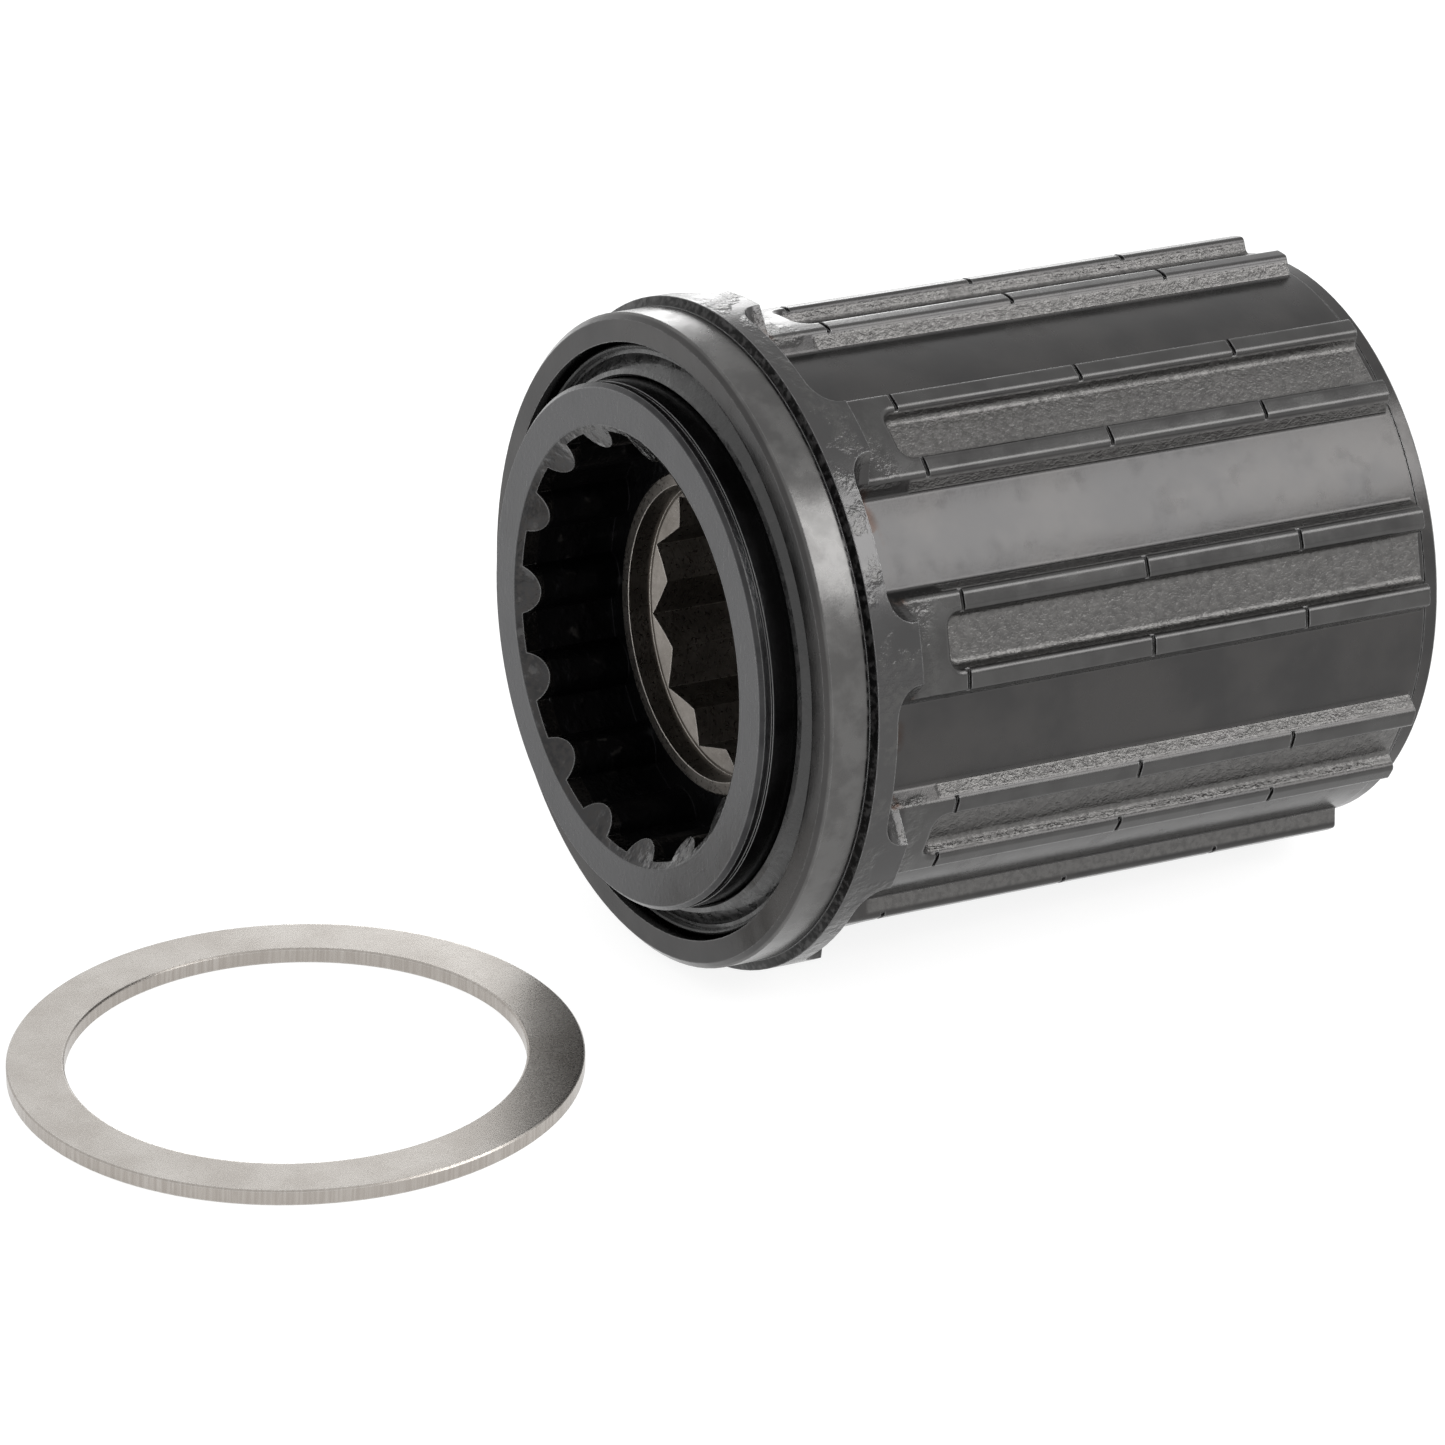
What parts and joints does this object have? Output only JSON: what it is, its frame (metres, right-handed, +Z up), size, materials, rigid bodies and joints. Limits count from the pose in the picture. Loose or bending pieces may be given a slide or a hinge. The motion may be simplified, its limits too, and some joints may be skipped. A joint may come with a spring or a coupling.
{
  "type": "cassette freehub body",
  "caption": "Splined bicycle cassette freehub body with pawl ratchet, ball bearings, hollow fixing bolt and a loose hub washer.",
  "frame": {"origin": "centre of the annular face that seats on the hub shell, on the wheel axis", "axes": "+Y along the wheel axis, away from the hub shell and out of the lockring thread; +Z up and +X to the right, seen from the hub side, with the freehub lying on its flange and on two of its splines"},
  "size_m": [0.0376, 0.0793, 0.0404],
  "materials": {
    "black_coated_steel": "thin satin black coat over machined steel",
    "greased_black_steel": "black coat, machined and greased",
    "bolt_steel": "plain machined steel, oiled",
    "washer_steel": "ground bright steel",
    "bearing_steel": "polished balls",
    "hardened_steel": "hardened, fine ground",
    "spring_steel": "blued strip",
    "seal_rubber": "black, greasy",
    "seal_case_steel": "pressed sheet, greased",
    "cap_metal": "dark pressed sheet"
  },
  "bodies": {
    "core": {"inner_body": "greased_black_steel", "bearing_cup": "hardened_steel", "preload_shim_1": "spring_steel", "preload_shim_2": "spring_steel", "pawl_spring_1": "spring_steel", "pawl_spring_2": "spring_steel", "pawl_spring_3": "spring_steel", "dust_cap": "cap_metal"},
    "driver": {"driver_body": "black_coated_steel", "inboard_seal": "seal_rubber", "inboard_seal_case": "seal_case_steel", "outboard_seal": "seal_rubber"},
    "inboard_balls": {"inboard_balls": "bearing_steel"},
    "outboard_balls": {"outboard_balls": "bearing_steel"},
    "pawl_1": {"pawl_1": "hardened_steel"},
    "pawl_2": {"pawl_2": "hardened_steel"},
    "pawl_3": {"pawl_3": "hardened_steel"},
    "bolt": {"fixing_bolt": "bolt_steel", "fixing_bolt_washer": "hardened_steel"},
    "washer": {"hub_washer": "washer_steel"}
  },
  "joints": [
    {"name": "driver_spin", "type": "hinge", "parent": "core", "child": "driver", "pos_m": [0, 0.02, 0], "axis": [0, 1, 0], "continuous": true},
    {"name": "inboard_balls_orbit", "type": "hinge", "parent": "core", "child": "inboard_balls", "pos_m": [0, 0.0089, 0], "axis": [0, 1, 0], "continuous": true},
    {"name": "outboard_balls_orbit", "type": "hinge", "parent": "core", "child": "outboard_balls", "pos_m": [0, 0.0312, 0], "axis": [0, 1, 0], "continuous": true},
    {"name": "pawl_1_swing", "type": "hinge", "parent": "core", "child": "pawl_1", "pos_m": [0, 0.0148, 0.0112], "axis": [0, -1, 0], "range_deg": [0, 14.81]},
    {"name": "pawl_2_swing", "type": "hinge", "parent": "core", "child": "pawl_2", "pos_m": [-0.0097, 0.0148, -0.0056], "axis": [0, -1, 0], "range_deg": [0, 14.81]},
    {"name": "pawl_3_swing", "type": "hinge", "parent": "core", "child": "pawl_3", "pos_m": [0.0097, 0.0148, -0.0056], "axis": [0, -1, 0], "range_deg": [0, 14.81]},
    {"name": "bolt_slide", "type": "slide", "parent": "core", "child": "bolt", "axis": [0, -1, 0], "range_m": [0, 0.0073]},
    {"name": "washer_lift", "type": "slide", "parent": "core", "child": "washer", "axis": [0, -0.0666, 0.9978], "range_m": [0, 0.03]}
  ],
  "couplings": [
    {"joint": "inboard_balls_orbit", "follows": "driver_spin", "ratio": 0.5304},
    {"joint": "outboard_balls_orbit", "follows": "driver_spin", "ratio": 0.5314},
    {"joint": "pawl_2_swing", "follows": "pawl_1_swing", "ratio": 1},
    {"joint": "pawl_3_swing", "follows": "pawl_1_swing", "ratio": 1}
  ]
}
